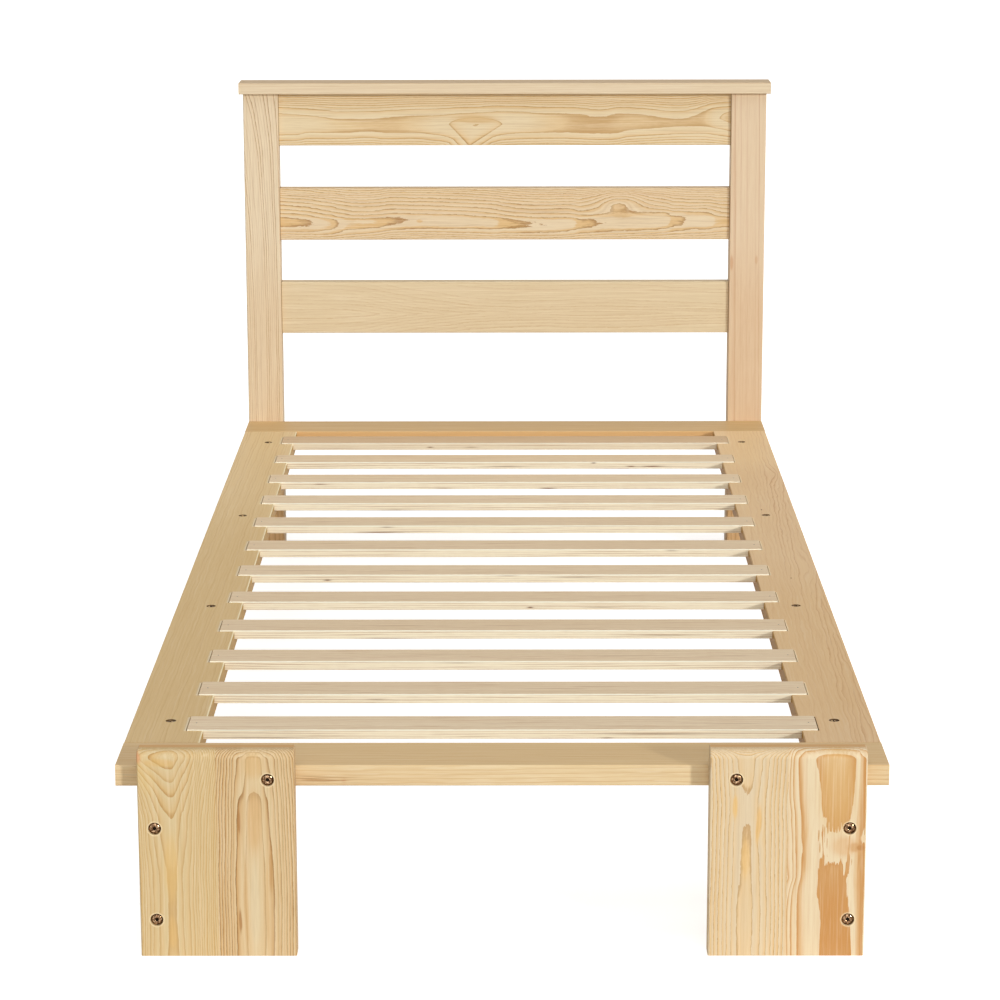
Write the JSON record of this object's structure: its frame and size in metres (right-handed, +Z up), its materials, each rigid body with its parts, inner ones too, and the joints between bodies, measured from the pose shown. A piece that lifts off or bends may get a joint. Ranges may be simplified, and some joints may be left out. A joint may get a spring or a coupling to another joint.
{
  "type": "single bed",
  "caption": "Low pine single bed with a slatted platform on broad front legs, and a headboard of flat rails between two posts under an overhanging cap.",
  "frame": {"origin": "on the floor, at the middle of the bed's overall width and depth", "axes": "+Y points from the front legs to the headboard, +Z up, +X to the right seen from the foot end"},
  "size_m": [0.913, 2.075, 0.818],
  "materials": {
    "pine_boards": "clear satin lacquer",
    "pine_legs": "clear satin lacquer",
    "pine_slats": "planed, bare",
    "pine_supports": "planed, bare",
    "bolt_steel": "dark bronze plating",
    "zinc_steel": "zinc plating"
  },
  "bodies": {
    "root": {"deck_board_front": "pine_boards", "deck_board_rear": "pine_boards", "deck_screws": "zinc_steel", "front_leg_barrel_nuts": "zinc_steel", "front_leg_block_left": "pine_supports", "front_leg_block_right": "pine_supports", "front_leg_bolts": "bolt_steel", "front_leg_left_inner_stave": "pine_legs", "front_leg_left_outer_stave": "pine_legs", "front_leg_right_inner_stave": "pine_legs", "front_leg_right_outer_stave": "pine_legs", "headboard_barrel_nuts": "zinc_steel", "headboard_bolts": "bolt_steel", "headboard_cap": "pine_boards", "headboard_post_left": "pine_boards", "headboard_post_right": "pine_boards", "headboard_rail_1": "pine_boards", "headboard_rail_2": "pine_boards", "headboard_rail_3": "pine_boards", "rear_leg_block_left": "pine_supports", "rear_leg_block_right": "pine_supports", "side_board_left": "pine_boards", "side_board_right": "pine_boards", "side_rail_left": "pine_supports", "side_rail_right": "pine_supports", "slat_01": "pine_slats", "slat_02": "pine_slats", "slat_03": "pine_slats", "slat_04": "pine_slats", "slat_05": "pine_slats", "slat_06": "pine_slats", "slat_07": "pine_slats", "slat_08": "pine_slats", "slat_09": "pine_slats", "slat_10": "pine_slats", "slat_11": "pine_slats", "slat_12": "pine_slats"}
  },
  "joints": []
}
